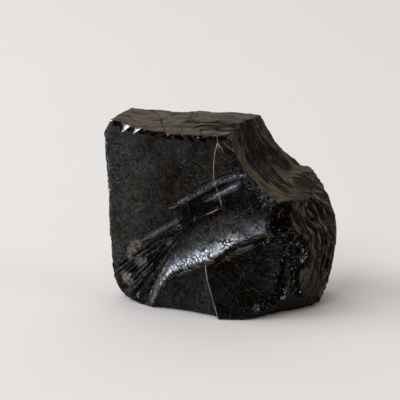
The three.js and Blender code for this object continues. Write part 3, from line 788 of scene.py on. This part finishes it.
# Where the film is thickest, partly painted shade under the lower edges, the glass is nearly black.
thick = node("MapRange", [film_and_painted_light, 1.2, 1.7, 0.0, 1.0])
film_and_painted_light = node("MapRange", [film_and_painted_light, 0.72, 1.12, 0.0, 1.0])
glass = node("Mix", {0: film_and_painted_light, 6: linear("#38393b"), 7: linear("#181511")}, 2, **RGB)
glass = node("Mix", {0: thick, 6: glass, 7: linear("#090807")}, 2, **RGB)
glass = node("Mix", {0: clean, 6: glass, 7: linear("#5a5c5f")}, 2, **RGB)
patchy = node("Math", [small, node("Math", [tiny, 0.8], **TIMES)], **PLUS)
patchy = node("MapRange", [patchy, 0.72, 1.08, 0.2, 1.8])
patchy = node("Mix", {0: node("Math", [mask["trough"], 0.6], **TIMES), 2: patchy, 3: 1.0})
patchy = node("CombineColor", [patchy, patchy, patchy])
glass = node("Mix", {0: 1.0, 6: glass, 7: patchy}, 2, **TINT)
# A warm-to-cool tint on the mirror colour: random in tone, and pushed cool where the cool field paints bluish
# sheen.
aside = node("Mapping", {"Vector": mm, "Location": (50, 0, 0)})
hue = node("TexNoise", {"Vector": aside, "Scale": 1 / 5, "Detail": 5})
hue = node("Math", [node("MapRange", [hue, 0.4, 0.6]), mask["cool"]], **PLUS)
hue = node("Mix", {0: hue, 6: linear("#fff5e0"), 7: linear("#eff5fc")}, 2, **RGB)
glass = node("Mix", {0: 1.0, 6: glass, 7: hue}, 2, **TINT)
grit = node("MapRange", [node("TexVoronoi", {"Vector": mm, "Scale": 1 / 1.3}), 0.19, 0.12, 0.0, 0.5])
grit = node("Math", [grit, node("MapRange", [small, 0.5, 0.56])], **TIMES)
glass = node("Mix", {0: grit, 6: glass, 7: linear("#8b8a88")}, 2, **RGB)

# Fresh chips are bare and scratches catch the light. Along the scars' crests a thin bright line is a painted
# highlight.
warp = node("VectorMath", [mm, node("TexNoise", {"Vector": mm, "Scale": 0.9}, "Color")], **PLUS)
chip = node("TexVoronoi", {"Vector": warp, "Scale": 2.1}, "Color")
bare = node("Math", [node("SeparateColor", [chip]), node("Math", [mask["glint"], 0.35], **TIMES)], **PLUS)
bare = node("MapRange", [bare, 0.87, 0.88])
crowd = node("Math", [node("MapRange", [middle, 0.54, 0.6]), mask["glint"]], **MOST)
bare = node("Math", [node("Math", [bare, crowd], **TIMES), mask["chips"]], **TIMES)
bare = node("Math", [bare, mask["fresh"]], **MOST)
glass = node("Mix", {0: bare, 6: glass, 7: linear("#7c8087")}, 2, **RGB)
# Painted highlight along each scar's crest.
crest = node("MapRange", [node("Math", [mask["crest"]], **UNSIGNED), 0.2, 0.1, 0.0, 0.8], **EASED)
crest = node("Math", [crest, node("MapRange", [middle, 0.4, 0.55, 0.2, 1.0])], **TIMES)
glass = node("Mix", {0: crest, 6: glass, 7: linear("#808489")}, 2, **RGB)
scratch = 0.0
for turned, seed in [(0.12, 0.0), (-0.7, 40.0), (0.9, 80.0)]:
    place = node("Mapping", {"Vector": mm, "Rotation": (0, turned, 0), "Location": (seed, 0, seed)})
    place = node("VectorMath", [place, (2.4, 0.3, 0.12)], **TIMES)
    one_way = node("MapRange", [node("TexNoise", {"Vector": place, "Scale": 1.0}), 0.66, 0.72])
    scratch = node("Math", [scratch, one_way], **MOST)
scratch = node("Math", [scratch, node("MapRange", [middle, 0.48, 0.6, 0.0, 0.6])], **TIMES)
glass = node("Mix", {0: scratch, 6: glass, 7: linear("#77777a")}, 2, **RGB)

# Straight fine strokes, that follow the hackle.
place = [node("Math", [mask["across"], 1.5], **TIMES), node("Math", [mask["along"], 0.13], **TIMES)]
strokes = node("TexNoise", {"Vector": node("CombineXYZ", place), "Scale": 1.0, "Detail": 2, "Roughness": 0.7})
light = node("Math", [node("MapRange", [strokes, 0.535, 0.58], **EASED), mask["strokes"]], **TIMES)
dark = node("Math", [node("MapRange", [strokes, 0.485, 0.44], **EASED), mask["strokes"]], **TIMES)
glint = node("Math", [light, node("MapRange", [middle, 0.46, 0.6, 0.0, 0.75])], **TIMES)
glass = node("Mix", {0: glint, 6: glass, 7: linear("#66696c")}, 2, **RGB)
glass = node("Mix", {0: node("Math", [dark, 0.9], **TIMES), 6: glass, 7: linear("#080706")}, 2, **RGB)

# Clay on the old joints: warm taupe with wavy darker lines, darkened in grooves, cracks and hollows by
# painted shade and in places by its own darker tone.
uneven = node("MapRange", [broad, 0.35, 0.65])
taupe = node("Mix", {0: uneven, 6: linear("#504838"), 7: linear("#3c3528")}, 2, **RGB)
taupe = node("Mix", {0: node("MapRange", [small, 0.42, 0.62]), 6: taupe, 7: linear("#615846")}, 2, **RGB)
taupe = node("Mix", {0: mask["warm"], 6: taupe, 7: linear("#f8f2e1")}, 2, **TINT)
grain_place = node("Mapping", {"Vector": mm, "Scale": (0.16, 0.9, 0.9)})
waves = node("TexNoise", {"Vector": grain_place, "Scale": 0.8, "Detail": 4, "Distortion": 0.6})
dark_lines = node("MapRange", [waves, 0.5, 0.42, 0.0, 0.8], **EASED)
taupe = node("Mix", {0: dark_lines, 6: taupe, 7: linear("#211a11")}, 2, **RGB)
# Painted shade, with the clay's own darker tone: the shade field darkens the taupe towards near-black.
tone_and_painted_shade = node("Math", [mask["shade"], 0.95], **TIMES)
taupe = node("Mix", {0: tone_and_painted_shade, 6: taupe, 7: linear("#0e0b07")}, 2, **RGB)
taupe = node("Mix", {0: node("Math", [light, 0.85], **TIMES), 6: taupe, 7: linear("#756b5a")}, 2, **RGB)
taupe = node("Mix", {0: node("Math", [dark, 0.95], **TIMES), 6: taupe, 7: linear("#0a0805")}, 2, **RGB)
clay = node("Math", [middle, node("Math", [small, 0.5], **TIMES)], **PLUS)
clay = node("Math", [node("MapRange", [clay, 0.55, 0.75, 0.7, 1.0]), mask["shade"]], **MOST)
clay = node("Math", [mask["clay"], clay], **TIMES)
colour = node("Mix", {0: clay, 6: glass, 7: taupe}, 2, **RGB)
# Painted shade: the clay darkens where the relief is cut deep.
groove_shade = node("Math", [node("MapRange", [mask["depth"], 0.15, 0.7, 0.0, 0.75], **EASED), clay], **TIMES)
colour = node("Mix", {0: groove_shade, 6: colour, 7: linear("#0b0a08")}, 2, **RGB)

# Dust caught on the lower left of the front, broken up by a fine crackle.
bent = node("VectorMath", [mm, node("TexNoise", {"Vector": mm, "Scale": 0.5, "Detail": 3}, "Color")], **PLUS)
bent = node("VectorMath", [bent, (1.0, 1.0, 0.55)], **TIMES)
crackle = node("TexVoronoi", {"Vector": bent, "Scale": 0.55}, "Distance", feature="DISTANCE_TO_EDGE")
lumpy = node("Math", [small, middle], **PLUS)
dust = node("Math", [mask["dust"], node("MapRange", [lumpy, 0.75, 1.25, 0.2, 1.6])], **TIMES)
dust = node("MapRange", [dust, 0.05, 1.1, 0.0, 0.6], **EASED)
dust = node("Math", [dust, node("MapRange", [crackle, 0.01, 0.05, 0.5, 1.0])], **TIMES)
dusty = node("MapRange", [small, 0.42, 0.55])
dusty = node("Mix", {0: dusty, 6: linear("#80756a"), 7: linear("#a59d92")}, 2, **RGB)
colour = node("Mix", {0: dust, 6: colour, 7: dusty}, 2, **RGB)

# Rust in a few hollows.
rust = node("Math", [mask["rust"], node("MapRange", [small, 0.35, 0.65, -0.3, 0.4])], **TIMES)
rust = node("MapRange", [node("Math", [mask["rust"], rust], **PLUS), 0.3, 1.0, 0.0, 0.75], **EASED)
rust = node("Math", [rust, node("MapRange", [small, 0.42, 0.58])], **TIMES)
colour = node("Mix", {0: rust, 6: colour, 7: linear("#94592d")}, 2, **RGB)

# The lip: a ragged brown and straw-coloured band along it.
lip_side = node("MapRange", [mask["lip"], -1.5, -0.3])
lip_side = node("Math", [lip_side, node("MapRange", [mask["lip"], 0.3, 0.0])], **TIMES)
straw = node("Mapping", {"Vector": mm, "Rotation": (0, 0.4, 0), "Scale": (0.35, 1, 2.2)})
straw = node("TexNoise", {"Vector": straw, "Scale": 0.9})
lip_stain = node("Math", [lip_side, node("MapRange", [straw, 0.5, 0.62, 0.0, 0.9], **EASED)], **TIMES)
colour = node("Mix", {0: lip_stain, 6: colour, 7: linear("#8c7650")}, 2, **RGB)

# Veins: hairlines of pale clay, about a third of a millimetre wide, two of them faint; the two strong ones
# are edged by a thin dark line of painted shadow.
width = node("MapRange", [node("TexNoise", {"Vector": mm, "Scale": 0.6}), 0.3, 0.7, 0.08, 0.19])
wobble = node("MapRange", [tiny, 0.3, 0.7, -0.12, 0.12])
gap = node("Math", [node("Math", [mask["vein"], wobble], **PLUS)], **UNSIGNED)
widths = node("Math", [gap, width], operation="DIVIDE")
vein = node("MapRange", [widths, 1.0, 0.4, 0.0, 1.0], **EASED)
# Painted shadow: a thin dark line along each side of a vein.
vein_edge_shadow = node("MapRange", [widths, 2.2, 1.2, 0.0, 0.8], **EASED)
colour = node("Mix", {0: vein_edge_shadow, 6: colour, 7: linear("#050505")}, 2, **RGB)
colour = node("Mix", {0: vein, 6: colour, 7: linear("#a89c86")}, 2, **RGB)
gap = node("Math", [mask["faint_vein"]], **UNSIGNED)
faint = node("MapRange", [node("Math", [gap, width], operation="DIVIDE"), 0.9, 0.3, 0.0, 1.0], **EASED)
colour = node("Mix", {0: faint, 6: colour, 7: linear("#4e463a")}, 2, **RGB)

# Cracks: hairlines too, with a crackle like dried glaze beside the lip.
gap = node("Math", [mask["crack"]], **UNSIGNED)
crack = node("MapRange", [gap, 0.22, 0.1, 0.0, 1.0], **EASED)
scaly = node("TexNoise", {"Vector": mm, "Scale": 0.45, "Detail": 2})
scaly = node("Math", [mask["trough"], node("MapRange", [scaly, 0.45, 0.6])], **TIMES)
scales = node("TexVoronoi", {"Vector": warp, "Scale": 0.8}, "Distance", feature="DISTANCE_TO_EDGE")
scales = node("Math", [node("MapRange", [scales, 0.09, 0.02]), scaly], **TIMES)
crack = node("Math", [crack, scales], **MOST)
colour = node("Mix", {0: crack, 6: colour, 7: linear("#050505")}, 2, **RGB)

# Shine: sharp on the glass, softer where it is worn, and none on clay, dust, rust and veins.
shine = node("MapRange", [node("Math", [middle, small], **PLUS), 0.8, 1.2, 0.16, 0.36])
shine = node("Mix", {0: bare, 2: shine, 3: 0.16})
shine = node("Mix", {0: clay, 2: shine, 3: node("MapRange", [small, 0.3, 0.7, 0.5, 0.75])})
matt = node("Math", [node("Math", [dust, rust], **MOST), vein], **MOST)
matt = node("Math", [node("Math", [matt, lip_stain], **MOST), crack], **MOST)
shine = node("Mix", {0: matt, 2: shine, 3: 0.7})
dull = node("Math", [matt, clay], **MOST)
lustre = node("Math", [1.0, dull], operation="SUBTRACT", use_clamp=True)

# Relief too fine for the mesh, in millimetres, and tiny chips that each face their own way.
grain = node("Math", [node("Math", [small, 0.16], **TIMES), node("Math", [tiny, 0.07], **TIMES)], **PLUS)
grain = node("Math", [grain, node("MapRange", [clay, 0.0, 1.0, 0.08, 1.0])], **TIMES)
grain = node("Math", [grain, node("MapRange", [mask["fresh"], 0.0, 0.5, 1.0, 0.1])], **TIMES)
grain = node("Math", [grain, node("MapRange", [mask["trough"], 0.2, 0.9, 1.0, 0.4])], **TIMES)
grain = node("Math", [grain, node("Math", [crack, -0.15], **TIMES)], **PLUS)
cut = node("Math", [strokes, mask["strokes"]], **TIMES)
grain = node("Math", [grain, node("Math", [cut, 0.7], **TIMES)], **PLUS)
bump = node("Bump", {"Distance": 0.001, "Height": grain})
chip = node("VectorMath", [chip, (0.5, 0.5, 0.5)], operation="SUBTRACT")
chip_size = node("Math", [mask["chips"], node("Math", [mask["glint"], 0.6], **TIMES)], **PLUS)
chip_size = node("Math", [chip_size, node("MapRange", [small, 0.4, 0.6, 0.2, 1.1])], **TIMES)
chip_size = node("Math", [chip_size, node("MapRange", [mask["fresh"], 0.0, 0.5, 1.0, 0.0])], **TIMES)
chip = node("VectorMath", {0: chip, "Scale": chip_size}, operation="SCALE")
bump = node("VectorMath", [node("VectorMath", [bump, chip], **PLUS)], operation="NORMALIZE")
surface = node("BsdfPrincipled", {
    "Base Color": colour, "Metallic": lustre, "Roughness": shine, "Normal": bump, "Specular IOR Level": 0.2,
})
tree.links.new(surface, tree.nodes.new("ShaderNodeOutputMaterial").inputs["Surface"])
mesh.materials.clear()
mesh.materials.append(shungite)

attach(stone, "root")
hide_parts("shungite_stone")

# ---- The studio
# A sheet of pale matt paper lies on a table under the stone and curves up behind it. A long strip light
# on the left is what the glass mirrors; softboxes high up, low down and on the right, and a wide diffuser
# overhead, fill in the rest. The room is dim and warm.
PAPER_FRONT, PAPER_BEND, PAPER_TOP, PAPER_HALF = -1.4, 1.2, 2.2, 2.5
BEND = 0.5  # radius of the paper's curve

floor_mesh = bpy.data.meshes.new("paper_sweep")
profile = [(PAPER_FRONT, 0.0), (PAPER_BEND, 0.0)]
for a in np.linspace(0.1, math.pi / 2, 14):
    profile.append((PAPER_BEND + BEND * math.sin(a), BEND - BEND * math.cos(a)))
profile.append((PAPER_BEND + BEND, PAPER_TOP))
corners = [(side * PAPER_HALF, y, z - 0.0001) for y, z in profile for side in (-1, 1)]
quads = [(2 * i, 2 * i + 1, 2 * i + 3, 2 * i + 2) for i in range(len(profile) - 1)]
floor_mesh.from_pydata(corners, [], quads)
floor_mesh.polygons.foreach_set("use_smooth", np.ones(len(quads), bool))
floor = bpy.data.objects.new("paper_sweep", floor_mesh)
bpy.context.scene.collection.objects.link(floor)

# Heavy uncoated paper: pale grey, and so matt that it mirrors nothing of the stone.
paper = bpy.data.materials.new("matt_paper")
paper.use_nodes = True
paper_surface = paper.node_tree.nodes["Principled BSDF"]
paper_surface.inputs["Base Color"].default_value = linear("#dededf")
paper_surface.inputs["Roughness"].default_value = 0.9
paper_surface.inputs["IOR"].default_value = 1.3
floor_mesh.materials.append(paper)


def softbox(name, direction, distance, size, brightness, colour, roll=0):
    """A softbox that faces the stone, seen from it in this direction, turned on its own axis by roll."""
    toward = np.array(direction, float) / np.linalg.norm(direction)
    light = bpy.data.lights.new(name, "AREA")
    light.shape = "RECTANGLE"
    light.size, light.size_y = size
    light.energy = 4 * size[0] * size[1] * brightness
    light.color = linear(colour)[:3]
    lamp = bpy.data.objects.new(name, light)
    bpy.context.scene.collection.objects.link(lamp)
    lamp.location = toward * distance + np.array([0, 0, 0.03])
    aim = Matrix.Rotation(math.atan2(toward[0], -toward[1]), 3, "Z")
    aim = aim @ Matrix.Rotation(math.acos(toward[2]), 3, "X") @ Matrix.Rotation(math.radians(roll), 3, "Z")
    lamp.rotation_euler = aim.to_euler()


softbox("left_strip", (-0.852, 0.087, 0.517), 1.7, (2.1, 0.13), 20.5, "#fcfdff", 45)
softbox("high_softbox", (-0.45, -0.6, 0.78), 1.8, (0.7, 0.7), 3.4, "#fcfcff")
softbox("low_fill", (-0.847, -0.377, 0.375), 1.5, (0.9, 0.55), 1.4, "#f2f6ff")
softbox("right_softbox", (0.836, -0.224, 0.5), 1.6, (0.35, 0.35), 6, "#ffffff")
softbox("overhead_diffuser", (0.0, 0.55, 1.0), 1.7, (2.4, 2.4), 0.92, "#fffbf7")

world = bpy.data.worlds.new("dim_room")
world.use_nodes = True
world.node_tree.nodes["Background"].inputs["Color"].default_value = linear("#a88a60")
world.node_tree.nodes["Background"].inputs["Strength"].default_value = 0.28
bpy.context.scene.world = world

# The camera looks along +Y and a little down, with a long lens, at a point near the stone's middle.
SENSOR_MM = 36
LENS_MM = 4.65 * SENSOR_MM
DISTANCE = 0.62
DOWN = math.radians(16)
AIM_X, AIM_Z = -0.0068, 0.0342
camera_data = bpy.data.cameras.new("camera")
camera_data.sensor_width = SENSOR_MM
camera_data.lens = LENS_MM
camera_data.clip_start = 0.05
camera = bpy.data.objects.new("camera", camera_data)
bpy.context.scene.collection.objects.link(camera)
camera.location = (AIM_X, -DISTANCE * math.cos(DOWN), AIM_Z + DISTANCE * math.sin(DOWN))
camera.rotation_euler = (math.pi / 2 - DOWN, 0, 0)
bpy.context.scene.camera = camera
bpy.context.scene.view_settings.view_transform = "Standard"
